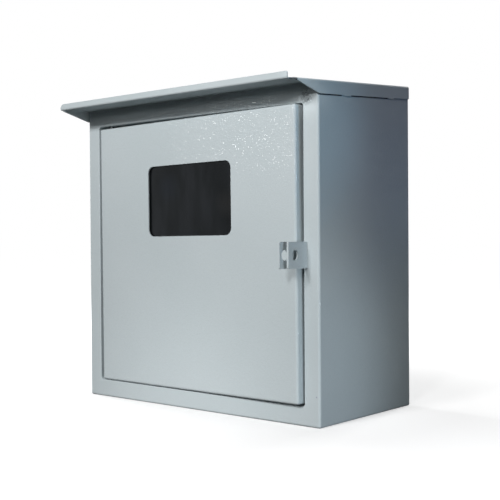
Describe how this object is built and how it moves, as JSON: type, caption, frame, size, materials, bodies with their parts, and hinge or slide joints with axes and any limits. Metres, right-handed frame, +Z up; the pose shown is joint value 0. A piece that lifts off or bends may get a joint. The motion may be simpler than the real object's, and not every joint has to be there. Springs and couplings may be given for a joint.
{
  "type": "electric meter box",
  "caption": "Wall-mounted sheet-metal meter box with a sloped rain hood, a hinged door with a viewing window, and padlock eyes.",
  "frame": {"origin": "middle of the four wall holes, on the wall plane", "axes": "+X to the right of a person who faces the door, +Y into the wall, +Z up"},
  "size_m": [0.4032, 0.2475, 0.4126],
  "materials": {
    "grey_coat": "light grey textured powder coat",
    "zinc_steel": "zinc-plated steel",
    "earth_brass": "plain brass",
    "black_rubber": "matt black foam rubber",
    "washer_plastic": "black plastic washer",
    "smoked_pane": "smoked clear pane, polished"
  },
  "bodies": {
    "box": {"body_shell": "grey_coat", "back_panel": "grey_coat", "rain_hood": "grey_coat", "hood_welds": "grey_coat", "frame_tab": "grey_coat", "upper_hinge_bracket": "grey_coat", "lower_hinge_bracket": "grey_coat", "upper_hinge_pin": "zinc_steel", "lower_hinge_pin": "zinc_steel", "hinge_washer": "washer_plastic", "door_stop": "grey_coat", "stop_pad": "black_rubber", "mounting_plate": "zinc_steel", "plate_studs": "zinc_steel", "plate_spacers": "zinc_steel", "plate_washers": "zinc_steel", "plate_nuts": "zinc_steel", "din_rail": "zinc_steel", "rail_screws": "zinc_steel", "earth_stud": "earth_brass", "earth_washers": "earth_brass", "earth_nuts": "earth_brass"},
    "door": {"door_panel": "grey_coat", "door_tab": "grey_coat", "window_seal": "black_rubber", "window_pane": "smoked_pane", "window_frame": "zinc_steel", "window_studs": "zinc_steel", "window_nuts": "zinc_steel"}
  },
  "joints": [
    {"name": "door_hinge", "type": "hinge", "parent": "box", "child": "door", "pos_m": [-0.161, -0.186, 0], "axis": [0, 0, -1], "range_deg": [-1.65, 118]}
  ]
}
